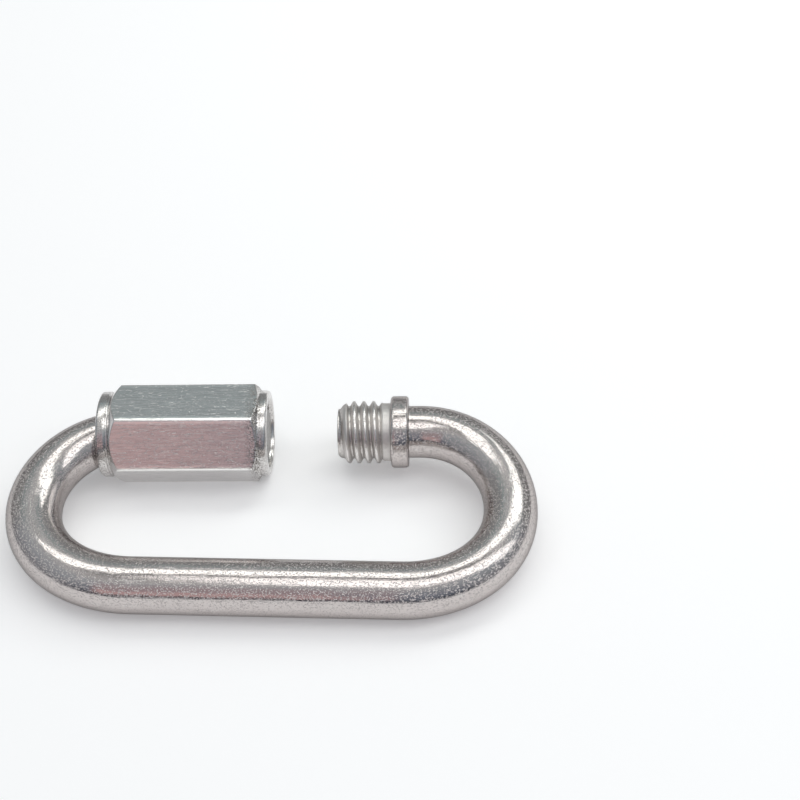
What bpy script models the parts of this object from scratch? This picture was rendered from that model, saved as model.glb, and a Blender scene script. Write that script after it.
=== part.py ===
"""Chain quick link, open: a bar bent to an oval whose threaded arms face each other across a gap,
and the long hexagonal nut that closes the gap, run back on the left arm.

The loop's own frame: X runs along the two arms, Y points from the back bar to the arms, Z is up out
of the loop's plane, and the origin is the middle of the loop. The loop lies on a table on the nut's
lower flat and on its back bar, so its plane leans a little.
"""
import math

import bmesh
import bpy
from mathutils import Matrix, Vector

# The bent bar
BAR_D = 0.0080
INSIDE_LENGTH = 0.0604
INSIDE_WIDTH = 0.0200
ARM_RUN = 0.0422
BACK_RUN = 0.0372
BACK_SLOPE = math.radians(1.7)
BACK_FULLNESS = 2.08
RIGHT_ARM_D = 0.0077
ARM_RELIEF = 0.00035

# The thread, one right-hand helix that both arms share
THREAD_D = 0.00925
THREAD_DEPTH = 0.00074
THREAD_PITCH = 0.00145
CREST_FLAT = 0.0002
ROOT_FLAT = 0.0003
RIDGE_SINK = 0.00014
CREST_START = 0.0011
RUN_OUT = 0.0009
TIP_CHAMFER = 0.0011
CHAMFER_ANGLE = math.radians(36)

# The right arm's collar, neck and stub, and the left arm's hidden end
COLLAR_X = 0.0169
COLLAR_WIDTH = 0.00265
COLLAR_STEP = 0.0007
COLLAR_EDGE = 0.0005
NECK_LENGTH = 0.0011
NECK_STEP = 0.00034
STUB_LENGTH = 0.0078
LEFT_THREAD_LENGTH = 0.0062

# The nut
NUT_LENGTH = 0.0250
NUT_FACE_X = -0.0011
NUT_WALL = 0.0017
NUT_EDGE = 0.00025
RIM_STEP = 0.00022
LEFT_RIM = 0.0014
RIGHT_RIM = 0.0013
RIM_EDGE = 0.0004
LEFT_CHAMFER = math.radians(45)
RIGHT_CHAMFER = math.radians(32)
GROOVE_WIDTH = 0.0003
GROOVE_DEPTH = 0.0002
LEFT_MOUTH_DEPTH = 0.0013
RIGHT_MOUTH_STEP = 0.0004

# Clearances
RUNNING_GAP = 0.00025
MOUTH_GAP = 0.0003
TIP_RECESS = 0.0003

# How finely round forms are cut into facets, how far a tool stands past its work, and the turn
# that keeps the facets of two joined round solids from lining up
BAR_SIDES = 28
BEND_STEPS = 14
TURNED_SIDES = 40
THREAD_SIDES = 26
EDGE_STEPS = 3
OVERCUT = 0.001
SEAM_TURN = math.radians(2.2)

# Sizes that follow from those above
BAR_R = BAR_D / 2
RIGHT_ARM_R = RIGHT_ARM_D / 2
CREST_R = THREAD_D / 2
ROOT_R = CREST_R - THREAD_DEPTH
LEFT_ARM_R = ROOT_R - ARM_RELIEF
NECK_R = CREST_R - NECK_STEP
COLLAR_R = CREST_R + COLLAR_STEP
ARM_Y = INSIDE_WIDTH / 2 + BAR_R
END_X = INSIDE_LENGTH / 2 + BAR_R
BORE_R = CREST_R + RUNNING_GAP
FLAT_R = BORE_R + NUT_WALL
CORNER_R = FLAT_R / math.cos(math.pi / 6)
RIM_R = FLAT_R - RIM_STEP
NUT_LEFT_X = NUT_FACE_X - NUT_LENGTH
NUT_MIDDLE_X = NUT_FACE_X - NUT_LENGTH / 2
COLLAR_END_X = COLLAR_X + COLLAR_WIDTH
NECK_X = COLLAR_X - NECK_LENGTH
STUB_TIP_X = COLLAR_X - STUB_LENGTH
LEFT_TIP_X = NUT_FACE_X - TIP_RECESS
LEFT_ROOT_X = LEFT_TIP_X - LEFT_THREAD_LENGTH

# A turned piece's X, Y and Z become the loop's Y, Z and X.
ALONG_ARM = Matrix(((0, 0, 1), (1, 0, 0), (0, 1, 0))).to_4x4()
ON_ARM_AXIS = Matrix.Translation((0, ARM_Y, 0)) @ ALONG_ARM
TURNED_PLACE = ON_ARM_AXIS @ Matrix.Rotation(SEAM_TURN, 4, "Z")


def clear_scene():
    for obj in list(bpy.data.objects):
        bpy.data.objects.remove(obj)


def new_collection(name):
    group = bpy.data.collections.new(name)
    bpy.context.scene.collection.children.link(group)
    return group


def metal(name, colour, roughness):
    material = bpy.data.materials.new(name)
    material.use_nodes = True
    shader = material.node_tree.nodes["Principled BSDF"]
    shader.inputs["Base Color"].default_value = (*colour, 1)
    shader.inputs["Metallic"].default_value = 1
    shader.inputs["Roughness"].default_value = roughness
    return material


def add_object(name, data, group, frame, matrix):
    """Links a new object to its collection and places it in the loop's frame."""
    obj = bpy.data.objects.new(name, data)
    group.objects.link(obj)
    obj.parent = frame
    obj.matrix_local = matrix
    return obj


def add_tool(name, mesh, group, frame, matrix):
    """A solid that only shapes another one."""
    tool = add_object(name, mesh, group, frame, matrix)
    tool.hide_render = True
    tool.display_type = "WIRE"
    return tool


def boolean(target, tool, operation):
    modifier = target.modifiers.new(f"{operation.lower()} {tool.name}", "BOOLEAN")
    modifier.operation = operation
    modifier.solver = "EXACT"
    modifier.object = tool


def evaluated_mesh(obj):
    bpy.context.view_layer.update()
    return bpy.data.meshes.new_from_object(obj.evaluated_get(bpy.context.evaluated_depsgraph_get()))


def loop_point(x, y):
    """The back bar leans by BACK_SLOPE against the arms' line, so the loop is wider at its right end."""
    lean = math.tan(BACK_SLOPE) * (ARM_Y - y) / (2 * ARM_Y)
    return Vector((x, y - lean * x, 0))


def bend(side, run, start, end, fullness=2):
    """A quarter of a superellipse at one end of the loop, -1 or 1, between two angles; 2 is an ellipse."""
    reach = END_X - run / 2
    points = []
    for step in range(BEND_STEPS + 1):
        angle = start + (end - start) * step / BEND_STEPS
        out = abs(math.cos(angle)) ** (2 / fullness)
        across = math.copysign(abs(math.sin(angle)) ** (2 / fullness), math.sin(angle))
        points.append(loop_point(side * (run / 2 + reach * out), ARM_Y * across))
    return points


def centreline():
    """The bar's centreline with its radius at each point, from the left arm round to the right arm."""
    quarter = math.pi / 2
    share = [step / BEND_STEPS for step in range(BEND_STEPS + 1)]
    left_arm = ((LEFT_TIP_X + OVERCUT, ROOT_R), (LEFT_ROOT_X, ROOT_R), (LEFT_ROOT_X - ARM_RELIEF, LEFT_ARM_R))
    line = [(Vector((x, ARM_Y, 0)), radius) for x, radius in left_arm]
    for point, s in zip(bend(-1, ARM_RUN, quarter, 0), share):
        line.append((point, LEFT_ARM_R + (BAR_R - LEFT_ARM_R) * s))
    line += [(point, BAR_R) for point in bend(-1, BACK_RUN, 0, -quarter, BACK_FULLNESS)[1:]]
    for point, s in zip(bend(1, BACK_RUN, -quarter, 0, BACK_FULLNESS), share):
        line.append((point, BAR_R + (RIGHT_ARM_R - BAR_R) * s))
    line += [(point, RIGHT_ARM_R) for point in bend(1, ARM_RUN, 0, quarter)[1:]]
    line.append((Vector((COLLAR_X + COLLAR_WIDTH / 2, ARM_Y, 0)), RIGHT_ARM_R))
    return line


def bar_reach(x):
    """How far the bar's surface reaches from the arms' axis at x on the left arm or its bend."""
    past = -x - ARM_RUN / 2
    if past <= 0:
        return LEFT_ARM_R
    reach = END_X - ARM_RUN / 2
    angle = math.acos(past / reach)
    radius = LEFT_ARM_R + (BAR_R - LEFT_ARM_R) * (1 - angle / (math.pi / 2))
    slope = ARM_Y / reach / math.tan(angle)
    return ARM_Y * (1 - math.sin(angle)) + radius * math.hypot(1, slope)


def bent_bar(group, frame):
    """The bar as a bevelled curve, then as a mesh that other solids can be joined to."""
    curve = bpy.data.curves.new("bar_line", "CURVE")
    curve.dimensions = "3D"
    curve.bevel_depth = BAR_R
    curve.bevel_resolution = BAR_SIDES // 2 - 2
    curve.use_fill_caps = True
    line = centreline()
    spline = curve.splines.new("POLY")
    spline.points.add(len(line) - 1)
    for knot, (point, radius) in zip(spline.points, line):
        knot.co = (*point, 1)
        knot.radius = radius / BAR_R
    wire = add_object("bar_line", curve, group, frame, Matrix.Identity(4))
    mesh = evaluated_mesh(wire)
    matrix = wire.matrix_local.copy()
    bpy.data.objects.remove(wire)
    weld = bmesh.new()
    weld.from_mesh(mesh)
    bmesh.ops.remove_doubles(weld, verts=weld.verts, dist=1e-6)
    bmesh.ops.recalc_face_normals(weld, faces=weld.faces)
    weld.to_mesh(mesh)
    weld.free()
    mesh.shade_smooth()
    return add_object("link_body", mesh, group, frame, matrix)


def turned(name, profile, group, frame):
    """A tool turned about the arms' axis from (radius, x) points, which run from its right end to its left."""
    mesh = bpy.data.meshes.new(name)
    mesh.from_pydata([(r, 0, x) for r, x in profile], [(i, i + 1) for i in range(len(profile) - 1)], [])
    tool = add_tool(name, mesh, group, frame, TURNED_PLACE)
    screw = tool.modifiers.new("turn", "SCREW")
    screw.axis = "Z"
    screw.steps = TURNED_SIDES
    screw.render_steps = screw.steps
    screw.use_merge_vertices = True
    screw.merge_threshold = 1e-6
    screw.use_smooth_shade = True
    return tool


def rounded_edge(radius, face_x, size, face_side):
    """The rounded edge of a turned end face that looks right (1) or left (-1), in profile order."""
    points = []
    for step in range(EDGE_STEPS + 1):
        angle = math.pi / 2 * (1 - step / EDGE_STEPS)
        across, along = size * (1 - math.cos(angle)), size * (1 - math.sin(angle))
        points.append((radius - across, face_x - face_side * along))
    return points if face_side > 0 else points[::-1]


def helical_ridge(name, x_from, x_to, fade_side, group, frame):
    """The thread's ridge between two x places; it dies into the core over RUN_OUT on fade_side, 1 or -1."""
    flank = (THREAD_PITCH - CREST_FLAT - ROOT_FLAT) / 2 / THREAD_DEPTH
    base_r = ROOT_R - RIDGE_SINK
    base_half = CREST_FLAT / 2 + (THREAD_DEPTH + RIDGE_SINK) * flank
    start = math.floor((x_from - CREST_START) / THREAD_PITCH) * THREAD_PITCH + CREST_START
    turns = (x_to - start) / THREAD_PITCH
    section = [(base_r, -base_half), (CREST_R, -CREST_FLAT / 2), (CREST_R, CREST_FLAT / 2), (base_r, base_half)]
    mesh = bpy.data.meshes.new(name)
    mesh.from_pydata([(r, 0, start + x) for r, x in section], [(i, (i + 1) % 4) for i in range(4)], [])
    sweep = add_tool(name, mesh, group, frame, ON_ARM_AXIS)
    screw = sweep.modifiers.new("helix", "SCREW")
    screw.axis = "Z"
    screw.angle = 2 * math.pi * turns
    screw.screw_offset = THREAD_PITCH * turns
    screw.steps = round(THREAD_SIDES * turns)
    screw.render_steps = screw.steps
    screw.use_smooth_shade = True
    ridge = evaluated_mesh(sweep)
    bpy.data.objects.remove(sweep)
    ends = bmesh.new()
    ends.from_mesh(ridge)
    bmesh.ops.holes_fill(ends, edges=[edge for edge in ends.edges if edge.is_boundary])
    buried_r = base_r + RIDGE_SINK / 2
    fade_x = x_to if fade_side > 0 else x_from
    for vertex in ends.verts:
        radius = math.hypot(vertex.co.x, vertex.co.y)
        fade = 1 - (fade_x - vertex.co.z) * fade_side / RUN_OUT
        if radius > buried_r and fade > 0:
            scale = 1 + (buried_r / radius - 1) * min(fade, 1)
            vertex.co.x *= scale
            vertex.co.y *= scale
    bmesh.ops.recalc_face_normals(ends, faces=ends.faces)
    ends.to_mesh(ridge)
    ends.free()
    return add_tool(name, ridge, group, frame, ON_ARM_AXIS)


def tip_cutter(name, tip_x, tip_side, group, frame):
    """What a lathe takes off a threaded tip that looks right (1) or left (-1): its end and its chamfer."""
    tip_r = CREST_R - TIP_CHAMFER
    wide_r = CREST_R + OVERCUT
    chamfer_x = tip_x - tip_side * (wide_r - tip_r) / math.tan(CHAMFER_ANGLE)
    far_x = tip_x + tip_side * 3 * THREAD_PITCH
    profile = [(0, far_x), (wide_r, far_x), (wide_r, chamfer_x), (tip_r, tip_x), (0, tip_x)]
    return turned(name, profile if tip_side > 0 else profile[::-1], group, frame)


def right_stub(group, frame):
    """The collar, the neck and the threaded stub that the nut closes on."""
    profile = [(0, COLLAR_END_X)]
    profile += rounded_edge(COLLAR_R, COLLAR_END_X, COLLAR_EDGE, 1)
    profile += rounded_edge(COLLAR_R, COLLAR_X, COLLAR_EDGE, -1)
    profile += [(NECK_R, COLLAR_X), (NECK_R, NECK_X), (ROOT_R, NECK_X - (NECK_R - ROOT_R))]
    profile += [(ROOT_R, STUB_TIP_X - OVERCUT), (0, STUB_TIP_X - OVERCUT)]
    stub = turned("stub", profile, group, frame)
    ridge_end = NECK_X + RUN_OUT / 2
    boolean(stub, helical_ridge("stub_ridge", STUB_TIP_X - THREAD_PITCH, ridge_end, 1, group, frame), "UNION")
    boolean(stub, tip_cutter("stub_cutter", STUB_TIP_X, -1, group, frame), "DIFFERENCE")
    return stub


def nut_turning(group, frame):
    """The turned outer form of the nut: two round rims, and chamfers that cut the hexagon's corners."""
    wide_r = CORNER_R + OVERCUT
    right_x = NUT_FACE_X - RIGHT_RIM
    left_x = NUT_LEFT_X + LEFT_RIM
    groove_r = RIM_R - GROOVE_DEPTH
    groove_end = left_x + GROOVE_WIDTH
    profile = [(0, NUT_FACE_X)]
    profile += rounded_edge(RIM_R, NUT_FACE_X, RIM_EDGE, 1)
    profile += [(RIM_R, right_x), (wide_r, right_x - (wide_r - RIM_R) * math.tan(RIGHT_CHAMFER))]
    profile += [(wide_r, groove_end + (wide_r - groove_r) * math.tan(LEFT_CHAMFER))]
    profile += [(groove_r, groove_end), (groove_r, left_x), (RIM_R, left_x)]
    profile += rounded_edge(RIM_R, NUT_LEFT_X, RIM_EDGE, -1)
    profile += [(0, NUT_LEFT_X)]
    return turned("nut_turning", profile, group, frame)


def nut_bore(group, frame):
    """The bore, with a countersink at the right, and at the left a wide mouth that clears the bend."""
    mouth_r = max(bar_reach(NUT_LEFT_X) + MOUTH_GAP, BORE_R + RIGHT_MOUTH_STEP)
    flare = (mouth_r - BORE_R) / LEFT_MOUTH_DEPTH
    profile = [(0, NUT_FACE_X + OVERCUT), (BORE_R + RIGHT_MOUTH_STEP + OVERCUT, NUT_FACE_X + OVERCUT)]
    profile += [(BORE_R, NUT_FACE_X - RIGHT_MOUTH_STEP), (BORE_R, NUT_LEFT_X + LEFT_MOUTH_DEPTH)]
    profile += [(mouth_r + OVERCUT * flare, NUT_LEFT_X - OVERCUT), (0, NUT_LEFT_X - OVERCUT)]
    return turned("nut_bore", profile, group, frame)


def hex_nut(group, tools, frame, lean):
    """A hexagonal bar with softened edges, turned at both ends and bored, with a flat facing straight down."""
    bar = bmesh.new()
    bmesh.ops.create_cone(
        bar, cap_ends=True, segments=6, radius1=CORNER_R, radius2=CORNER_R,
        depth=NUT_LENGTH + 2 * OVERCUT, matrix=Matrix.Rotation(math.pi / 6, 4, "Z")
    )
    mesh = bpy.data.meshes.new("hex_nut")
    bar.to_mesh(mesh)
    bar.free()
    place = Matrix.Translation((NUT_MIDDLE_X, ARM_Y, 0)) @ Matrix.Rotation(-lean, 4, "X") @ ALONG_ARM
    nut = add_object("hex_nut", mesh, group, frame, place)
    softened = nut.modifiers.new("long edges", "BEVEL")
    softened.width = NUT_EDGE
    softened.segments = EDGE_STEPS
    softened.limit_method = "ANGLE"
    boolean(nut, nut_turning(tools, frame), "INTERSECT")
    boolean(nut, nut_bore(tools, frame), "DIFFERENCE")
    return nut


def link_body(group, tools, frame):
    """The bent bar with the stub on its right arm and the hidden thread on its left one."""
    body = bent_bar(group, frame)
    boolean(body, right_stub(tools, frame), "UNION")
    ridge = helical_ridge("left_ridge", LEFT_ROOT_X, LEFT_TIP_X + THREAD_PITCH, -1, tools, frame)
    boolean(body, ridge, "UNION")
    boolean(body, tip_cutter("left_cutter", LEFT_TIP_X, 1, tools, frame), "DIFFERENCE")
    return body


def resting_lean():
    """The lean that puts the nut's flat and the back bar's lowest stretch on one table."""
    lowest_y = min(point.y for point, radius in centreline())
    return math.asin((FLAT_R - BAR_R) / (ARM_Y - lowest_y))


def stand_on_origin(frame, parts):
    """Moves the loop's frame so that the origin is the middle of the parts' underside."""
    corners = []
    for part in parts:
        mesh = evaluated_mesh(part)
        corners += [part.matrix_world @ vertex.co for vertex in mesh.vertices]
        bpy.data.meshes.remove(mesh)
    low = Vector([min(corner[i] for corner in corners) for i in range(3)])
    high = Vector([max(corner[i] for corner in corners) for i in range(3)])
    middle = (low + high) / 2
    frame.location -= Vector((middle.x, middle.y, low.z))


def main():
    clear_scene()
    group = new_collection("chain_quick_link")
    tools = new_collection("cutters")
    lean = resting_lean()
    frame = bpy.data.objects.new("loop_frame", None)
    group.objects.link(frame)
    frame.rotation_euler = (lean, 0, 0)
    body = link_body(group, tools, frame)
    nut = hex_nut(group, tools, frame, lean)
    body.data.materials.append(metal("bright_bar", (0.72, 0.71, 0.69), 0.22))
    nut.data.materials.append(metal("brushed_nut", (0.62, 0.61, 0.60), 0.30))
    stand_on_origin(frame, (body, nut))


main()
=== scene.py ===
"""Looks of the open chain quick link: a bright plated bar with a threaded stub and a brushed hexagonal nut.

Both pieces are swept on grids along their own lines, in the loop's frame: X runs along the two arms,
Y points from the back bar to the arms, and Z is up out of the loop's plane. The loop leans on its nut.
Sizes are in metres, and the materials' noises and marks are in millimetres.
"""
import math

import bpy
import numpy as np
from mathutils import Euler, Matrix, Vector


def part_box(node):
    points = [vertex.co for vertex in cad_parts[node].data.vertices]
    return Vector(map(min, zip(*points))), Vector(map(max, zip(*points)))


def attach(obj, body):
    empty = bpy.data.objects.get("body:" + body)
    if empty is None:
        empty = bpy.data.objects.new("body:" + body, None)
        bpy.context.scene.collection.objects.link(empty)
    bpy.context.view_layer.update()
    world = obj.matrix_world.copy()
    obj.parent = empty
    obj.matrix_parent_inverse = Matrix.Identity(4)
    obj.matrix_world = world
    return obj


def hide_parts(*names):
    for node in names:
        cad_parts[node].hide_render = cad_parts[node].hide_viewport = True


MM = 0.001
QUARTER = math.pi / 2
SIXTH = math.pi / 3

# The bent bar
BAR_R = 0.0040
INSIDE_LENGTH = 0.0604
INSIDE_WIDTH = 0.0200
ARM_RUN = 0.0422
BACK_RUN = 0.0372
BACK_SLOPE = math.radians(1.7)
BACK_FULLNESS = 2.08        # 2 is an ellipse
RIGHT_ARM_R = 0.00385
ARM_RELIEF = 0.00035        # the left arm's bar stays this far below the thread's roots

# The thread, one right-hand helix that both arms share
CREST_R = 0.004625
THREAD_DEPTH = 0.00074
THREAD_PITCH = 0.00145
CREST_START = 0.0011        # where along the arms a crest stands at angle 0
RUN_OUT = 0.0009
TIP_CHAMFER = 0.0011
CHAMFER_ANGLE = math.radians(36)
TIP_EDGE = 0.00012
TIP_GROOVE = 0.00022        # the groove's depth where it runs on over the chamfer
THREAD_WEAR = 0.3           # how much of the section is a round wave
WORN_CREST_FLAT = 0.00036
WORN_ROOT_FLAT = 0.00026

# The right arm's collar, neck and stub, and the left arm's threaded end
COLLAR_X = 0.0169
COLLAR_WIDTH = 0.00265
COLLAR_STEP = 0.0007
COLLAR_EDGE = 0.0005
COLLAR_FILLET = 0.00012
NECK_LENGTH = 0.0011
NECK_STEP = 0.00034
STUB_LENGTH = 0.0078
LEFT_THREAD_LENGTH = 0.0062
TIP_RECESS = 0.0003

# The nut
NUT_LENGTH = 0.0250
NUT_FACE_X = -0.0011
NUT_CORNER = 0.00058
RIM_STEP = 0.00022
LEFT_RIM = 0.0014
RIGHT_RIM = 0.0013
RIM_EDGE = 0.0004
LEFT_CHAMFER = math.radians(45)
RIGHT_CHAMFER = math.radians(32)
CHAMFER_SOFTNESS = 0.00009
GROOVE_WIDTH = 0.0003
GROOVE_DEPTH = 0.0002
RUNNING_GAP = 0.00025
LEFT_MOUTH_R = 0.00535
LEFT_MOUTH_DEPTH = 0.0013
RIGHT_MOUTH_STEP = 0.0004
INNER_THREAD_DEPTH = 0.0003

# How finely the grids are cut
BAR_COLUMNS = 96
BAR_STEP = 0.0005
BEND_STEPS = 64
ROWS_PER_PITCH = 24
INNER_ROWS_PER_PITCH = 10
EDGE_ROWS = 7
TIP_EDGE_ROWS = 4
TIP_SHARES = (0.04, 0.5, 0.9)           # rows across a tip's face
FILLET_SHARES = (0.3, 0.65, 1.0)        # rows round the collar's fillet
BAND_SHARES = (0.25, 0.5, 0.75)         # rows across the collar's band
FLAT_COLUMNS = 14
CORNER_COLUMNS = 8
FLAT_ROWS = 28
CHAMFER_ROWS = 6
CREASE_ROWS = 6
CREASE_TURNED = 3           # so many of a crease's rows belong to the turned side
NEAR = 0.01                 # the share of a flat between its end row and its edge
CHAMFER_NEAR = 0.03         # the same for a chamfer
HAIR = 0.00001              # rows a few hairs beside an edge hold it crisp
ON_LINE = 1e-9              # rows this near the arms' line are on it

# In the materials, a pair that ends in AT says at which value of its noise a mark begins and at which
# it is whole, and a SHARE says how much of its colour a whole mark takes on.
NOISE_RANGE = (0.3, 0.7)                # nearly all of a noise's values lie between these

# The bar's colours and marks
PLATING = (0.605, 0.558, 0.542)
PLATING_LINES = (0.42, 0.395, 0.385)
LINES_AT = (0.55, 0.35)
LINE_SHARE = 0.12
SCRATCHED_PLATING = (0.78, 0.76, 0.74)
SCRATCHES_AT = (0.655, 0.70)
SCRATCH_SHARE = 0.35
CUT_METAL = (0.80, 0.775, 0.75)
CUT_SHARE = 0.8
# painted shade that darkens the thread's roots
ROOT_SHADE_COLOUR = (0.20, 0.18, 0.165)
ROOT_SHADE_AT = (0.3, 0.6)
ROOT_SHADE_SHARE = 0.4
DIMPLES_AT = (0.555, 0.665)
DIMPLES_CUT_AWAY = 0.7

# The bar's bumps and gloss
WAVE_DEPTH = 0.00006
LINE_DEPTH = 0.000014
TURNING_DEPTH = 0.000012
BAR_GRAIN_DEPTH = 0.000007
DIMPLE_DEPTH = 0.000036
BAR_ROUGHNESS = (0.07, 0.11)
DIMPLE_ROUGHNESS = 0.05
SCRATCH_ROUGHNESS = 0.12
CUT_ROUGHNESS = (0.14, 0.42)            # added on the crests and roots, and on the flanks
MID_FLANK = 0.25                        # the flank's value halfway down, from 0 at its ends
# a grey tint on the bar's grazing reflections: painted shade that darkens its outlines
BAR_OUTLINE_SHADE = 0.45

# The nut's colours and marks
BRUSHED_DARK = (0.62, 0.60, 0.59)
BRUSHED_LIGHT = (0.80, 0.78, 0.765)
LATHE_STRETCH = 0.06                    # turned marks vary this little round the nut
BRUSHED_STROKES = (0.85, 0.85, 0.83)
STROKE_CONTOURS = 13.0
STROKE_WIDTH = 0.12
STROKES_AT = (0.44, 0.54)
STROKE_SHARE = 0.6
# a painted highlight along the nut's six corners
CORNER_HIGHLIGHT_COLOUR = (0.94, 0.93, 0.91)
NUT_DIRT = (0.12, 0.105, 0.09)
NUT_DIRT_AT = (0.64, 0.74)
NUT_DIRT_SHARE = 0.85
DIRT_DRIFT = 0.35                       # how far broad patches shift where the specks begin

# The nut's bumps and gloss
NUT_GRAIN_DEPTH = 0.000009
MARK_DEPTH = 0.000007
STROKE_DEPTH = 0.000013
NUT_ROUGHNESS = (0.13, 0.19)
DIRT_ROUGHNESS = 0.3
STROKE_ROUGHNESS = 0.22
CORNER_ROUGHNESS = 0.6                  # a factor
NUT_RIM_TINT = 1.0

# Where the nut's corners get a painted highlight and where it is dirty, in millimetres out from its axis
# and along from its middle
CORNER_HIGHLIGHT_REACH = (7.22, 7.40)
RIGHT_DIRT = (9.3, 10.9)
RIGHT_FACE_DIRT = (12.0, 11.2)
RIGHT_FACE_DIRT_SHARES = (0.35, 1.0)
LEFT_DIRT = (-10.6, -11.1)
LEFT_DIRT_SHARES = (0.0, 0.5)

# The camera, in the loop's frame
CAMERA_PLACE = (0.026675, -0.144104, 0.185596)
CAMERA_TURN = (41.548, 1.805, 0.952)
CAMERA_LENS = 73.9
CAMERA_CLIP = (0.01, 20)

# The floor
FLOOR_REACH = 3.0
FLOOR_DROP = 0.00002
FLOOR_COLOUR = (0.90, 0.895, 0.90)
FLOOR_ROUGHNESS = 0.9
FLOOR_LIFT = 0.19

# The soft boxes: name, place, half length, half width, turn in degrees, radiance, colour
SOFT_BOXES = [
    ("back_box", (0.20, 0.376, 0.8), 0.704, 0.148, 18, 1.75, (1.0, 1.02, 0.99)),
    ("front_box", (0.68, -0.128, 0.8), 0.848, 0.208, 8, 1.6, (1.0, 1.0, 0.99)),
    ("near_box", (0.172, 0.200, 0.22), 0.090, 0.064, 5, 1.75, (1.0, 1.02, 0.99)),
]

# The room's colour at heights above the horizon, in degrees
ROOM_FRONT = [
    (0, (0.035, 0.04, 0.05)),
    (4, (0.06, 0.07, 0.09)),
    (11, (0.18, 0.205, 0.25)),
    (25, (0.26, 0.285, 0.335)),
    (45, (0.36, 0.385, 0.42)),
    (62, (0.48, 0.49, 0.49)),
    (88, (0.25, 0.25, 0.25)),
]
ROOM_SIDES = [
    (0, (0.22, 0.23, 0.255)),
    (12, (0.31, 0.33, 0.36)),
    (25, (0.34, 0.375, 0.41)),
    (45, (0.44, 0.485, 0.52)),
    (62, (0.55, 0.56, 0.56)),
    (88, (0.25, 0.25, 0.25)),
]
ROOM_BACK = [
    (0, (0.28, 0.285, 0.29)),
    (20, (0.30, 0.31, 0.315)),
    (34, (0.30, 0.32, 0.325)),
    (43, (0.335, 0.40, 0.415)),
    (52, (0.46, 0.505, 0.515)),
    (62, (0.60, 0.61, 0.61)),
    (88, (0.25, 0.25, 0.25)),
]
ROSY_THING = [
    (0, (0.18, 0.15, 0.165)),
    (8, (0.24, 0.195, 0.21)),
    (18.5, (0.39, 0.31, 0.335)),
    (45, (0.47, 0.39, 0.41)),
]
ROSY_PATCH = (0.64, 0.455, 0.455)
ROSY_TURN = math.radians(-21)
PATCH_TURN = math.radians(-18.7)

# Where the room's parts fade: none at the first value, and whole from the second on. The first three
# are measured along a direction's Y, the edges off an upright plane, and the rest along its rise.
FRONT_FADE = (-0.55, -0.85)
BACK_FADE = (0.15, 0.5)
ROSY_AHEAD = (-0.2, -0.3)
ROSY_EDGE = (0.24, 0.19)
ROSY_FOOT = (0.04, 0.13)
ROSY_HEAD = (0.85, 0.60)
PATCH_EDGE = (0.25, 0.18)
PATCH_FOOT = (0.12, 0.17)
PATCH_HEAD = (0.44, 0.36)

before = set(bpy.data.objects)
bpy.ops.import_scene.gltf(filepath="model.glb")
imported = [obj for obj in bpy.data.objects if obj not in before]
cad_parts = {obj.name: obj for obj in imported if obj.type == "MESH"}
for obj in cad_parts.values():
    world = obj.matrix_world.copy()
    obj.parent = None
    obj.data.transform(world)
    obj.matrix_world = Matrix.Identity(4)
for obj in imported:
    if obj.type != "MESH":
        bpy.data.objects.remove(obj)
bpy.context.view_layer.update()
nut_low, nut_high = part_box("hex_nut")
nut_middle = (nut_low + nut_high) / 2

# Sizes that follow from those above
ROOT_R = CREST_R - THREAD_DEPTH
TIP_R = CREST_R - TIP_CHAMFER
LEFT_ARM_R = ROOT_R - ARM_RELIEF
NECK_R = CREST_R - NECK_STEP
COLLAR_R = CREST_R + COLLAR_STEP
ARM_Y = INSIDE_WIDTH / 2 + BAR_R
END_X = INSIDE_LENGTH / 2 + BAR_R
BORE_R = CREST_R + RUNNING_GAP
RIGHT_MOUTH_R = BORE_R + RIGHT_MOUTH_STEP
FLAT_R = (nut_high.z - nut_low.z) / 2
RIM_R = FLAT_R - RIM_STEP
NUT_LEFT_X = NUT_FACE_X - NUT_LENGTH
NUT_MIDDLE_X = NUT_FACE_X - NUT_LENGTH / 2
COLLAR_END_X = COLLAR_X + COLLAR_WIDTH
NECK_X = COLLAR_X - NECK_LENGTH
STUB_TIP_X = COLLAR_X - STUB_LENGTH
LEFT_TIP_X = NUT_FACE_X - TIP_RECESS
LEFT_ROOT_X = LEFT_TIP_X - LEFT_THREAD_LENGTH


# --- the bar's line -------------------------------------------------------------------------------

def loop_point(x, y):
    """The back bar leans a little against the arms' line, so the loop is wider at its right end."""
    lean = math.tan(BACK_SLOPE) * (ARM_Y - y) / (2 * ARM_Y)
    return x, y - lean * x


def bend(side, run, start, end, fullness, radii):
    """Points (x, y, bar radius) on a quarter of a superellipse at one end of the loop, -1 or 1."""
    reach = END_X - run / 2
    points = []
    for step in range(BEND_STEPS + 1):
        share = step / BEND_STEPS
        angle = start + (end - start) * share
        out = abs(math.cos(angle)) ** (2 / fullness)
        across = math.copysign(abs(math.sin(angle)) ** (2 / fullness), math.sin(angle))
        x, y = loop_point(side * (run / 2 + reach * out), ARM_Y * across)
        points.append((x, y, radii[0] + (radii[1] - radii[0]) * share))
    return points


def straight(start, end):
    """Points strictly between two (x, y, radius) points, about a step of the bar apart."""
    start, end = np.array(start), np.array(end)
    count = max(2, round(np.linalg.norm((end - start)[:2]) / BAR_STEP))
    return [tuple(start + (end - start) * i / count) for i in range(1, count)]


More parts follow.
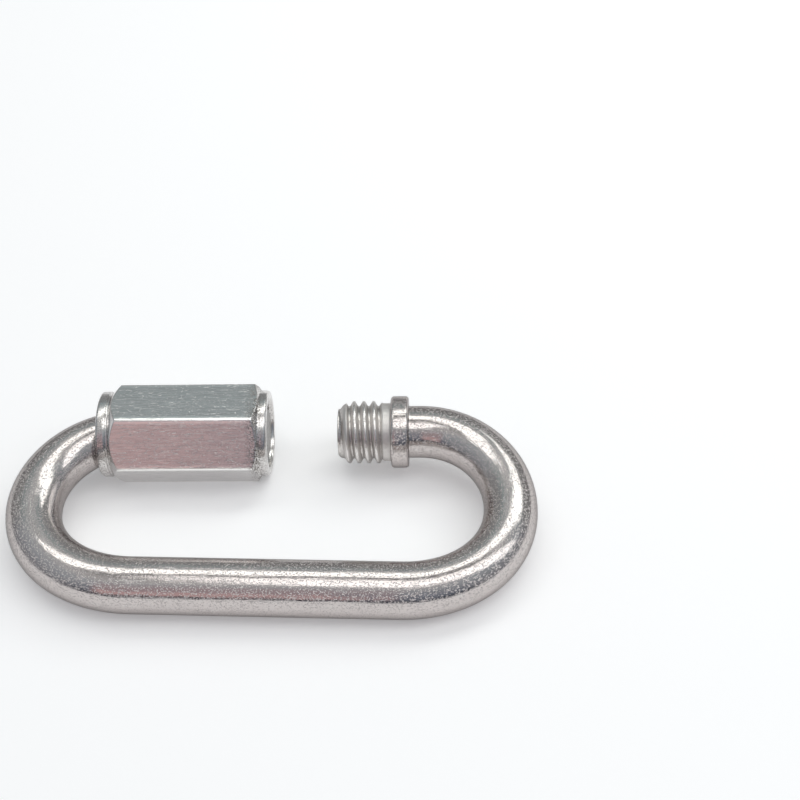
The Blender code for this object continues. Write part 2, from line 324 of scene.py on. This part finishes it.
def bar_line():
    """The smooth part of the bar, from the left arm's thread round to the collar."""
    runs = [
        bend(-1, ARM_RUN, QUARTER, 0, 2, (LEFT_ARM_R, BAR_R)),
        bend(-1, BACK_RUN, 0, -QUARTER, BACK_FULLNESS, (BAR_R, BAR_R)),
        bend(1, BACK_RUN, -QUARTER, 0, BACK_FULLNESS, (BAR_R, RIGHT_ARM_R)),
        bend(1, ARM_RUN, 0, QUARTER, 2, (RIGHT_ARM_R, RIGHT_ARM_R)),
    ]
    line = [(LEFT_ROOT_X - ARM_RELIEF, ARM_Y, LEFT_ARM_R)]
    line += straight(line[-1], runs[0][0])
    line += runs[0] + runs[1][1:]
    line += straight(runs[1][-1], runs[2][0])
    line += runs[2] + runs[3][1:]
    end = (COLLAR_END_X + COLLAR_FILLET, ARM_Y, RIGHT_ARM_R)
    line += straight(line[-1], end)
    line.append(end)
    return line


# --- the loop's place -----------------------------------------------------------------------------

lowest_y = min(y for x, y, radius in bar_line())
lean = Matrix.Rotation(math.asin((FLAT_R - BAR_R) / (ARM_Y - lowest_y)), 4, "X")
loop_place = Matrix.Translation(nut_middle - lean @ Vector((NUT_MIDDLE_X, ARM_Y, 0))) @ lean


def placed(points):
    """Points of the loop's frame, placed as the link lies."""
    turn = np.array(loop_place.to_3x3())
    return points @ turn.T + np.array(loop_place.translation)


# --- profiles -------------------------------------------------------------------------------------

def rounded_edge(radius, face_x, size, face_side):
    """(x, radius) points of a turned edge at a face that looks right (1) or left (-1), going left."""
    points = []
    for step in range(EDGE_ROWS + 1):
        angle = QUARTER * (1 - step / EDGE_ROWS)
        across, along = size * (1 - math.cos(angle)), size * (1 - math.sin(angle))
        points.append((face_x - face_side * along, radius - across))
    return points if face_side > 0 else points[::-1]


def tip_rows(face_x, face_side):
    """(x, radius) points of a threaded end's face and small edge, from its middle out."""
    points = [(face_x, (TIP_R - TIP_EDGE) * share) for share in TIP_SHARES]
    for angle in np.linspace(0, QUARTER, TIP_EDGE_ROWS):
        points.append((face_x - face_side * TIP_EDGE * (1 - math.cos(angle)),
                       TIP_R - TIP_EDGE * (1 - math.sin(angle))))
    return points


def crease(start, corner, end):
    """(x, radius) rows of a small rounding between two surfaces that meet at a corner."""
    rows = []
    for t in np.linspace(0, 1, CREASE_ROWS):
        rows.append(tuple((1 - t) ** 2 * a + 2 * t * (1 - t) * b + t * t * c
                          for a, b, c in zip(start, corner, end)))
    return rows


def helix_radius(x, angle, base_r, height):
    """The radius of a right-hand thread, rounded by wear, at places x and angles about the arms' axis."""
    turn = (x - CREST_START) / THREAD_PITCH - angle / (2 * math.pi)
    off = np.abs(turn - np.round(turn)) * THREAD_PITCH
    flank_width = (THREAD_PITCH - WORN_CREST_FLAT - WORN_ROOT_FLAT) / 2
    flank = np.clip((off - WORN_CREST_FLAT / 2) / flank_width, 0, 1)
    round_form = 0.5 + 0.5 * np.cos(2 * math.pi * off / THREAD_PITCH)
    return base_r + height * (THREAD_WEAR * round_form + (1 - THREAD_WEAR) * (1 - flank))


def threaded_rows(x_places, angles, core, fade_x, tip_x, tip_side):
    """(x, radii) rows of a threaded end, whose tip looks right (1) or left (-1).

    Its ridge dies out at fade_x, and its groove runs on shallow over the tip's chamfer.
    """
    rows = []
    for x in x_places:
        ridge = helix_radius(x, angles, ROOT_R, THREAD_DEPTH)
        fade = np.clip(1 - (x - fade_x) * tip_side / RUN_OUT, 0, 1)
        ridge = ridge + (ROOT_R - ridge) * fade
        depth = (tip_x - x) * tip_side
        valley = TIP_GROOVE * min(1, depth / TIP_EDGE) * np.clip((CREST_R - ridge) / THREAD_DEPTH, 0, 1)
        limit = TIP_R + depth * math.tan(CHAMFER_ANGLE) - valley
        rows.append((x, np.minimum(np.maximum(ridge, core(x)), limit)))
    return rows


# --- meshes ---------------------------------------------------------------------------------------

def grid_faces(rows, columns, closed_rows):
    """Quads of a grid that is closed round its columns, and round its rows where asked."""
    faces = []
    for i in range(rows if closed_rows else rows - 1):
        a, b = i * columns, (i + 1) % rows * columns
        for j in range(columns):
            k = (j + 1) % columns
            faces.append((a + j, b + j, b + k, a + k))
    return faces


def add_piece(name, points, faces, attributes, material, body, node):
    """Links a smooth mesh that stands for a node and rides on its body."""
    mesh = bpy.data.meshes.new(name)
    mesh.from_pydata([tuple(p) for p in points], [], faces)
    for key, values in attributes.items():
        kind, field = ("FLOAT_VECTOR", "vector") if values.ndim == 2 else ("FLOAT", "value")
        layer = mesh.attributes.new(key, kind, "POINT")
        layer.data.foreach_set(field, values.astype(np.float32).ravel())
    mesh.shade_smooth()
    mesh.materials.append(material)
    piece = bpy.data.objects.new(name, mesh)
    bpy.context.scene.collection.objects.link(piece)
    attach(piece, body)
    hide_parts(node)


def link_grid():
    """The link's rows from the left arm's tip to the stub's: the columns' angles, places and radii."""
    angles = np.arange(BAR_COLUMNS) * 2 * math.pi / BAR_COLUMNS
    places, radii = [], []

    def bar_row(x, y, radius):
        places.append((x, y))
        radii.append(np.broadcast_to(radius, angles.shape))

    def turned_rows(points):
        for x, radius in points:
            bar_row(x, ARM_Y, radius)

    def stub_core(x):
        """The neck, and the cone by which it narrows to the thread's roots."""
        cone_x = NECK_X - (NECK_R - ROOT_R)
        return NECK_R if x >= NECK_X else max(ROOT_R, ROOT_R + x - cone_x)

    step = THREAD_PITCH / ROWS_PER_PITCH
    # the left arm's tip and thread
    turned_rows(tip_rows(LEFT_TIP_X, 1))
    xs = np.arange(LEFT_TIP_X - TIP_EDGE - step, LEFT_ROOT_X, -step)
    turned_rows(threaded_rows(xs, angles, lambda x: ROOT_R, LEFT_ROOT_X, LEFT_TIP_X, 1))
    # the smooth bar
    for x, y, radius in bar_line():
        bar_row(x, y, radius)
    # the collar
    for share in FILLET_SHARES:
        angle = share * QUARTER
        turned_rows([(COLLAR_END_X + COLLAR_FILLET * (1 - math.sin(angle)),
                      RIGHT_ARM_R + COLLAR_FILLET * (1 - math.cos(angle)))])
    turned_rows(rounded_edge(COLLAR_R, COLLAR_END_X, COLLAR_EDGE, 1))
    band = COLLAR_WIDTH - 2 * COLLAR_EDGE
    turned_rows((COLLAR_END_X - COLLAR_EDGE - band * share, COLLAR_R) for share in BAND_SHARES)
    turned_rows(rounded_edge(COLLAR_R, COLLAR_X, COLLAR_EDGE, -1))
    turned_rows([(COLLAR_X, NECK_R + COLLAR_FILLET), (COLLAR_X - COLLAR_FILLET, NECK_R)])
    # the neck, the stub's thread and its tip
    xs = np.arange(COLLAR_X - COLLAR_FILLET - step, STUB_TIP_X + TIP_EDGE + step / 2, -step)
    turned_rows(threaded_rows(xs, angles, stub_core, NECK_X + RUN_OUT / 2, STUB_TIP_X, -1))
    turned_rows(reversed(tip_rows(STUB_TIP_X, -1)))
    return angles, np.array(places), np.array(radii)


def make_link(material):
    """The bent bar in one closed mesh, with its straightened place kept on every point.

    The attribute root is 0 on the thread's crests and 1 in its roots, and cut marks both threaded ends.
    """
    angles, places, radii = link_grid()
    steps = np.linalg.norm(np.diff(places, axis=0), axis=1)
    along = np.concatenate([[0], np.cumsum(steps)])
    on_arm = np.abs(places[:, 1] - ARM_Y) < ON_LINE
    tangent = np.gradient(places, axis=0)
    tangent[on_arm] = (-1, 0)
    tangent /= np.linalg.norm(tangent, axis=1)[:, None]
    outward = np.stack([tangent[:, 1], -tangent[:, 0]], axis=1)
    out, up = radii * np.cos(angles), radii * np.sin(angles)
    flat = places[:, None, :] + outward[:, None, :] * out[:, :, None]
    points = np.concatenate([flat, up[:, :, None]], axis=2).reshape(-1, 3)
    rows, columns = radii.shape
    faces = grid_faces(rows, columns, False)
    faces.append(tuple(range(columns)))
    faces.append(tuple(range((rows - 1) * columns, rows * columns))[::-1])
    drawn = np.stack([np.broadcast_to(along[:, None], radii.shape), out, up], axis=2)
    x = places[:, 0]
    threaded = (np.abs(x - LEFT_TIP_X) < LEFT_THREAD_LENGTH) | (np.abs(x - STUB_TIP_X) < STUB_LENGTH)
    cut = np.broadcast_to((on_arm & threaded)[:, None], radii.shape)
    root = np.where(cut, np.clip((CREST_R - radii) / THREAD_DEPTH, 0, 1), 0)
    marks = {"drawn": drawn.reshape(-1, 3) / MM, "cut": cut.astype(float).ravel(), "root": root.ravel()}
    add_piece("plated_link", placed(points), faces, marks, material, "link", "link_body")


def nut_columns():
    """Angles round the nut's axis, close together at the six corners, and the hexagon's radius there."""
    centre = (FLAT_R - NUT_CORNER) / math.cos(SIXTH / 2)
    reach = math.atan(NUT_CORNER / 2 / (centre + NUT_CORNER * math.cos(SIXTH / 2)))
    from_corner = list(np.linspace(-reach, reach, CORNER_COLUMNS))
    from_corner += list(np.linspace(reach, SIXTH - reach, FLAT_COLUMNS + 2)[1:-1])
    angles, radii = [], []
    for corner in range(6):
        for off in from_corner:
            angles.append(corner * SIXTH + off)
            if abs(off) < reach:
                rounding = math.sqrt(NUT_CORNER ** 2 - (centre * math.sin(off)) ** 2)
                radii.append(centre * math.cos(off) + rounding)
            else:
                radii.append(FLAT_R / math.cos(abs(off) - SIXTH / 2))
    return np.array(angles), np.array(radii)


def nut_rows(angles, hexagon):
    """Rows of (x, radius, turned share) round the nut's closed section, all but the share per column.

    They run left over the outside, from the right mouth to the left one, and right through the bore.
    """
    soft = CHAMFER_SOFTNESS
    right_x, left_x = NUT_FACE_X - RIGHT_RIM, NUT_LEFT_X + LEFT_RIM
    groove_r, groove_x = RIM_R - GROOVE_DEPTH, left_x + GROOVE_WIDTH
    right_slope, left_slope = math.tan(RIGHT_CHAMFER), math.tan(LEFT_CHAMFER)
    right_break = right_x - (hexagon - RIM_R) * right_slope
    left_break = groove_x + (hexagon - groove_r) * left_slope
    rows = []

    def turned_rows(points):
        rows.extend((np.full_like(angles, x), np.full_like(angles, r), 1.0) for x, r in points)

    # the right rim
    turned_rows([(NUT_FACE_X, RIGHT_MOUTH_R + 6 * HAIR), (NUT_FACE_X, RIGHT_MOUTH_R + 30 * HAIR)])
    turned_rows(rounded_edge(RIM_R, NUT_FACE_X, RIM_EDGE, 1))
    turned_rows([(right_x + 30 * HAIR, RIM_R), (right_x + 4 * HAIR, RIM_R)])
    # the right chamfer and its crease with the hexagon
    for share in np.linspace(CHAMFER_NEAR, 1, CHAMFER_ROWS):
        r = RIM_R + (hexagon - soft - RIM_R) * share
        rows.append((right_x - (r - RIM_R) * right_slope, r, 1.0))
    start = (right_break + soft * right_slope, hexagon - soft)
    fold = crease(start, (right_break, hexagon), (right_break - soft, hexagon))[1:]
    rows += [(x, r, float(i < CREASE_TURNED)) for i, (x, r) in enumerate(fold)]
    # the hexagon
    for share in np.linspace(NEAR, 1 - NEAR, FLAT_ROWS):
        rows.append((right_break - soft + (left_break - right_break + 2 * soft) * share, hexagon, 0.0))
    # its crease with the left chamfer, and the chamfer
    end = (left_break - soft * left_slope, hexagon - soft)
    fold = crease((left_break + soft, hexagon), (left_break, hexagon), end)
    rows += [(x, r, float(i >= CREASE_ROWS - CREASE_TURNED)) for i, (x, r) in enumerate(fold)]
    for share in np.linspace(0, 1 - CHAMFER_NEAR, CHAMFER_ROWS)[1:]:
        r = hexagon - soft + (groove_r - hexagon + soft) * share
        rows.append((groove_x + (r - groove_r) * left_slope, r, 1.0))
    # the turned groove and the left rim
    turned_rows([(groove_x - 2 * HAIR, groove_r), (left_x + 2 * HAIR, groove_r),
                 (left_x, groove_r + 3 * HAIR), (left_x - HAIR, RIM_R - 3 * HAIR),
                 (left_x - 5 * HAIR, RIM_R), (left_x - 30 * HAIR, RIM_R)])
    turned_rows(rounded_edge(RIM_R, NUT_LEFT_X, RIM_EDGE, -1))
    # the flared mouth, the threaded bore and the countersink
    turned_rows([(NUT_LEFT_X, LEFT_MOUTH_R + 20 * HAIR), (NUT_LEFT_X, LEFT_MOUTH_R + 4 * HAIR),
                 (NUT_LEFT_X + 4 * HAIR, LEFT_MOUTH_R - 2 * HAIR)])
    flare = (LEFT_MOUTH_R - BORE_R) / LEFT_MOUTH_DEPTH
    start, end = NUT_LEFT_X + 20 * HAIR, NUT_FACE_X - 10 * HAIR
    for x in np.linspace(start, end, round((end - start) / THREAD_PITCH * INNER_ROWS_PER_PITCH)):
        smooth_r = max(BORE_R, LEFT_MOUTH_R - (x - NUT_LEFT_X) * flare, RIGHT_MOUTH_R - (NUT_FACE_X - x))
        groove = helix_radius(x + THREAD_PITCH / 2, angles, BORE_R, INNER_THREAD_DEPTH)
        rows.append((np.full_like(angles, x), np.maximum(groove, smooth_r), 1.0))
    turned_rows([(NUT_FACE_X - 3 * HAIR, RIGHT_MOUTH_R)])
    return rows


def make_nut(material):
    """The nut in one closed grid, with its place from the nut's own middle kept on every point."""
    angles, hexagon = nut_columns()
    x, r, shares = zip(*nut_rows(angles, hexagon))
    x, r = np.array(x), np.array(r)
    own = np.stack([x - NUT_MIDDLE_X, r * np.cos(angles), r * np.sin(angles)], axis=2).reshape(-1, 3)
    faces = [face[::-1] for face in grid_faces(*r.shape, True)]
    marks = {"own": own / MM, "turned": np.repeat(shares, len(angles))}
    add_piece("brushed_hex_nut", own + np.array(nut_middle), faces, marks, material,
              "nut", "hex_nut")


# --- materials ------------------------------------------------------------------------------------

class Nodes:
    """Builds a node tree with few words. A value is a socket, which is linked, or a constant."""

    def __init__(self, tree):
        self.tree = tree

    def add(self, kind, inputs=(), **settings):
        node = self.tree.nodes.new(kind)
        for key, value in settings.items():
            setattr(node, key, value)
        for key, value in dict(inputs).items():
            if isinstance(value, bpy.types.NodeSocket):
                self.tree.links.new(value, node.inputs[key])
            else:
                node.inputs[key].default_value = value
        return node

    def math(self, operation, a, b=0.0):
        return self.add("ShaderNodeMath", {0: a, 1: b}, operation=operation).outputs[0]

    def times(self, a, b):
        return self.math("MULTIPLY", a, b)

    def plus(self, a, b):
        return self.math("ADD", a, b)

    def minus(self, a, b):
        return self.math("SUBTRACT", a, b)

    def span(self, value, low, high, to_low=0.0, to_high=1.0, ease="LINEAR"):
        """Carries a value from low to high over to to_low to to_high, and holds it at both ends."""
        node = self.add("ShaderNodeMapRange", {"Value": value, "From Min": low, "From Max": high,
                                               "To Min": to_low, "To Max": to_high},
                        interpolation_type=ease)
        return node.outputs["Result"]

    def mix(self, share, a, b):
        """The colour a where the share is 0, and b where it is 1."""
        a, b = (c if isinstance(c, bpy.types.NodeSocket) else (*c, 1) for c in (a, b))
        return self.add("ShaderNodeMix", {0: share, 6: a, 7: b}, data_type="RGBA").outputs[2]

    def attribute(self, name, output="Vector"):
        return self.add("ShaderNodeAttribute", attribute_name=name).outputs[output]

    def split(self, vector):
        return self.add("ShaderNodeSeparateXYZ", {"Vector": vector}).outputs

    def noise(self, vector, scale, detail=3.0, roughness=0.5, distortion=0.0, stretch=None):
        """Noise with about scale waves to a unit, and fewer along an axis with a small stretch."""
        if stretch:
            vector = self.add("ShaderNodeMapping", {"Vector": vector, "Scale": stretch}).outputs["Vector"]
        node = self.add("ShaderNodeTexNoise", {"Vector": vector, "Scale": scale, "Detail": detail,
                                               "Roughness": roughness, "Distortion": distortion})
        return node.outputs["Fac"]

    def bump(self, height, depth, normal=None):
        inputs = {"Height": height, "Distance": depth, "Strength": 1.0}
        if normal is not None:
            inputs["Normal"] = normal
        return self.add("ShaderNodeBump", inputs).outputs["Normal"]


class Material(Nodes):
    """A new material, with its nodes built round its shader."""

    def __init__(self, name):
        self.material = bpy.data.materials.new(name)
        self.material.use_nodes = True
        super().__init__(self.material.node_tree)
        self.shader = self.tree.nodes["Principled BSDF"]

    def finish_metal(self, colour, roughness, normal, rim_tint):
        self.shader.inputs["Metallic"].default_value = 1.0
        self.shader.inputs["Specular Tint"].default_value = (rim_tint, rim_tint, rim_tint, 1)
        self.tree.links.new(colour, self.shader.inputs["Base Color"])
        self.tree.links.new(roughness, self.shader.inputs["Roughness"])
        self.tree.links.new(normal, self.shader.inputs["Normal"])
        return self.material


def plated_bar():
    """Bright plating over drawn bar: small dimples, a fine grain, lines along the bar and scratches.

    The threaded ends are cut, so they are paler and duller, and painted shade darkens the thread's roots.
    """
    n = Material("bright_plating")
    drawn = n.attribute("drawn")
    cut = n.attribute("cut", "Fac")
    root = n.attribute("root", "Fac")
    flank = n.times(root, n.minus(1.0, root))
    grain = n.noise(drawn, 3.4, roughness=0.6, stretch=(0.8, 1, 1))
    lines = n.noise(drawn, 4.6, roughness=0.6, stretch=(0.03, 1, 1))
    waves = n.noise(drawn, 0.42, detail=2.0, stretch=(0.4, 1, 1))
    patches = n.noise(drawn, 0.22, detail=2.0)
    turning = n.noise(drawn, 6.5, detail=2.0, roughness=0.6, stretch=(1, 0.05, 0.05))
    scratch_field = n.noise(drawn, 2.6, detail=1.0, roughness=0.4, distortion=1.2, stretch=(0.12, 1, 1))
    scratches = n.span(scratch_field, *SCRATCHES_AT)
    # small steep dimples, which glint where light and dark meet and vanish where all is even
    dimple_field = n.noise(drawn, 4.8, detail=2.0, roughness=0.55, stretch=(0.8, 1, 1))
    dimples = n.span(dimple_field, *DIMPLES_AT)

    colour = n.mix(n.times(n.span(lines, *LINES_AT), LINE_SHARE), PLATING, PLATING_LINES)
    colour = n.mix(n.times(scratches, SCRATCH_SHARE), colour, SCRATCHED_PLATING)
    colour = n.mix(n.times(cut, CUT_SHARE), colour, CUT_METAL)
    # painted shade in the thread's roots, strongest at their bottoms and broken up by the grain
    root_shade = n.times(n.math("POWER", root, 2.0), n.span(grain, *ROOT_SHADE_AT, 0.0, ROOT_SHADE_SHARE))
    colour = n.mix(n.times(root_shade, cut), colour, ROOT_SHADE_COLOUR)

    roughness = n.span(patches, *NOISE_RANGE, *BAR_ROUGHNESS)
    roughness = n.plus(roughness, n.times(dimples, DIMPLE_ROUGHNESS))
    roughness = n.plus(roughness, n.times(scratches, SCRATCH_ROUGHNESS))
    roughness = n.plus(roughness, n.times(cut, n.span(flank, 0.0, MID_FLANK, *CUT_ROUGHNESS)))

    normal = n.bump(waves, WAVE_DEPTH)
    normal = n.bump(lines, LINE_DEPTH, normal)
    normal = n.bump(n.times(turning, cut), TURNING_DEPTH, normal)
    normal = n.bump(grain, BAR_GRAIN_DEPTH, normal)
    kept_dimples = n.minus(1.0, n.times(cut, DIMPLES_CUT_AWAY))
    normal = n.bump(n.times(dimples, kept_dimples), DIMPLE_DEPTH, normal)
    return n.finish_metal(colour, roughness, normal, BAR_OUTLINE_SHADE)


def brushed_nut():
    """Drawn hexagon bar, brushed along its flats and turned at its ends, with dirt where they meet."""
    n = Material("brushed_hexagon")
    own = n.attribute("own")
    turned = n.attribute("turned", "Fac")
    flat = n.minus(1.0, turned)
    along, across, up = n.split(own)
    radius = n.math("POWER", n.plus(n.math("POWER", across, 2.0), n.math("POWER", up, 2.0)), 0.5)
    lathe = n.add("ShaderNodeCombineXYZ", {"X": n.minus(along, radius), "Y": n.times(across, LATHE_STRETCH),
                                           "Z": n.times(up, LATHE_STRETCH)}).outputs[0]
    brushing = n.noise(own, 5.5, detail=4.0, roughness=0.6, stretch=(0.07, 1, 1))
    rings = n.noise(lathe, 7.0, roughness=0.6)
    marks = n.mix(turned, n.span(brushing, *NOISE_RANGE), n.span(rings, *NOISE_RANGE))
    blotches = n.noise(own, 0.35, roughness=0.55)
    grain = n.noise(own, 3.6, roughness=0.6, stretch=(0.5, 1, 1))
    # wavy strokes along the flats: the contour lines of a stretched noise, broken up by a finer one
    stroke_field = n.noise(own, 1.1, detail=2.0, stretch=(0.10, 1, 1))
    contours = n.span(n.math("FRACT", n.times(stroke_field, STROKE_CONTOURS)), STROKE_WIDTH, 0.0)
    strokes = n.times(n.times(contours, n.span(grain, *STROKES_AT)), flat)
    # the six corners get a painted highlight: a paler colour and less roughness
    corner = n.times(n.span(radius, *CORNER_HIGHLIGHT_REACH), flat)
    # dirt in specks beside the right chamfer and in the turned groove
    right_face = n.span(along, *RIGHT_FACE_DIRT, *RIGHT_FACE_DIRT_SHARES)
    right_end = n.times(n.span(along, *RIGHT_DIRT), right_face)
    near_end = n.math("MAXIMUM", right_end, n.span(along, *LEFT_DIRT, *LEFT_DIRT_SHARES))
    speck_field = n.plus(n.noise(own, 4.2, roughness=0.65), n.times(n.noise(own, 0.5), DIRT_DRIFT))
    specks = n.times(near_end, n.span(speck_field, *NUT_DIRT_AT))

    colour = n.mix(marks, BRUSHED_DARK, BRUSHED_LIGHT)
    colour = n.mix(n.times(strokes, STROKE_SHARE), colour, BRUSHED_STROKES)
    # painted highlight on the corners
    colour = n.mix(corner, colour, CORNER_HIGHLIGHT_COLOUR)
    colour = n.mix(n.times(specks, NUT_DIRT_SHARE), colour, NUT_DIRT)

    roughness = n.span(blotches, *NOISE_RANGE, *NUT_ROUGHNESS)
    roughness = n.plus(roughness, n.times(specks, DIRT_ROUGHNESS))
    roughness = n.plus(roughness, n.times(strokes, STROKE_ROUGHNESS))
    roughness = n.times(roughness, n.span(corner, 0.0, 1.0, 1.0, CORNER_ROUGHNESS))

    normal = n.bump(grain, NUT_GRAIN_DEPTH)
    normal = n.bump(marks, MARK_DEPTH, normal)
    normal = n.bump(strokes, STROKE_DEPTH, normal)
    return n.finish_metal(colour, roughness, normal, NUT_RIM_TINT)


# --- the studio -----------------------------------------------------------------------------------

def floor():
    """A plain white floor that keeps the link's shadow. Camera and glossy rays see it a little brighter."""
    mesh = bpy.data.meshes.new("floor")
    signs = [(-1, -1), (1, -1), (1, 1), (-1, 1)]
    corners = [(x * FLOOR_REACH, y * FLOOR_REACH, -FLOOR_DROP) for x, y in signs]
    mesh.from_pydata(corners, [], [(0, 1, 2, 3)])
    n = Material("white_floor")
    n.shader.inputs["Base Color"].default_value = (*FLOOR_COLOUR, 1)
    n.shader.inputs["Roughness"].default_value = FLOOR_ROUGHNESS
    n.shader.inputs["Specular IOR Level"].default_value = 0.0
    rays = n.add("ShaderNodeLightPath").outputs
    seen = n.math("MAXIMUM", rays["Is Camera Ray"], rays["Is Glossy Ray"])
    seen = n.math("MAXIMUM", seen, rays["Is Transmission Ray"])
    n.shader.inputs["Emission Color"].default_value = (1, 1, 1, 1)
    n.tree.links.new(n.times(seen, FLOOR_LIFT), n.shader.inputs["Emission Strength"])
    mesh.materials.append(n.material)
    obj = bpy.data.objects.new("floor", mesh)
    bpy.context.scene.collection.objects.link(obj)


def soft_box(name, place, half_length, half_width, turn, radiance, colour):
    """A lamp that lies level over the link, turned about the upright."""
    lamp = bpy.data.lights.new(name, "AREA")
    lamp.shape = "RECTANGLE"
    lamp.size, lamp.size_y = 2 * half_length, 2 * half_width
    lamp.energy = radiance * math.pi * lamp.size * lamp.size_y
    lamp.color = colour
    obj = bpy.data.objects.new(name, lamp)
    obj.location = place
    obj.rotation_euler.z = math.radians(turn)
    bpy.context.scene.collection.objects.link(obj)


def room():
    """A grey room, darkest low at the front, with something tall and rosy at the front left."""
    world = bpy.data.worlds.new("room")
    world.use_nodes = True
    bpy.context.scene.world = world
    n = Nodes(world.node_tree)
    direction = n.add("ShaderNodeTexCoord").outputs["Generated"]
    _, forward, rise = n.split(direction)

    def ramp(stops):
        node = n.add("ShaderNodeValToRGB", {"Fac": rise})
        elements = node.color_ramp.elements
        elements.remove(elements[1])
        for index, (height, colour) in enumerate(stops):
            place = math.sin(math.radians(height))
            stop = elements[0] if index == 0 else elements.new(place)
            stop.position = place
            stop.color = (*colour, 1)
        return node.outputs["Color"]

    def fade(value, ends):
        return n.span(value, *ends, ease="SMOOTHSTEP")

    def off_plane(turn):
        """How far a direction is from the upright plane through Y, turned about the upright."""
        dot = n.add("ShaderNodeVectorMath", {0: direction, 1: (math.cos(turn), math.sin(turn), 0)},
                    operation="DOT_PRODUCT")
        return n.math("ABSOLUTE", dot.outputs["Value"])

    ahead = fade(forward, ROSY_AHEAD)
    rosy = n.times(fade(off_plane(ROSY_TURN), ROSY_EDGE), ahead)
    rosy = n.times(rosy, n.times(fade(rise, ROSY_FOOT), fade(rise, ROSY_HEAD)))
    patch = n.times(fade(off_plane(PATCH_TURN), PATCH_EDGE), ahead)
    patch = n.times(patch, n.times(fade(rise, PATCH_FOOT), fade(rise, PATCH_HEAD)))

    colour = n.mix(fade(forward, FRONT_FADE), ramp(ROOM_SIDES), ramp(ROOM_FRONT))
    colour = n.mix(fade(forward, BACK_FADE), colour, ramp(ROOM_BACK))
    colour = n.mix(rosy, colour, ramp(ROSY_THING))
    colour = n.mix(patch, colour, ROSY_PATCH)
    n.tree.links.new(colour, n.tree.nodes["Background"].inputs["Color"])


def camera():
    """The photograph's camera, which leans with the loop."""
    data = bpy.data.cameras.new("camera")
    data.lens = CAMERA_LENS
    data.clip_start, data.clip_end = CAMERA_CLIP
    obj = bpy.data.objects.new("camera", data)
    turn = Euler([math.radians(angle) for angle in CAMERA_TURN])
    obj.matrix_world = loop_place @ Matrix.LocRotScale(Vector(CAMERA_PLACE), turn, None)
    bpy.context.scene.collection.objects.link(obj)
    bpy.context.scene.camera = obj


make_link(plated_bar())
make_nut(brushed_nut())
floor()
for box in SOFT_BOXES:
    soft_box(*box)
room()
camera()
bpy.context.scene.view_settings.view_transform = "Standard"
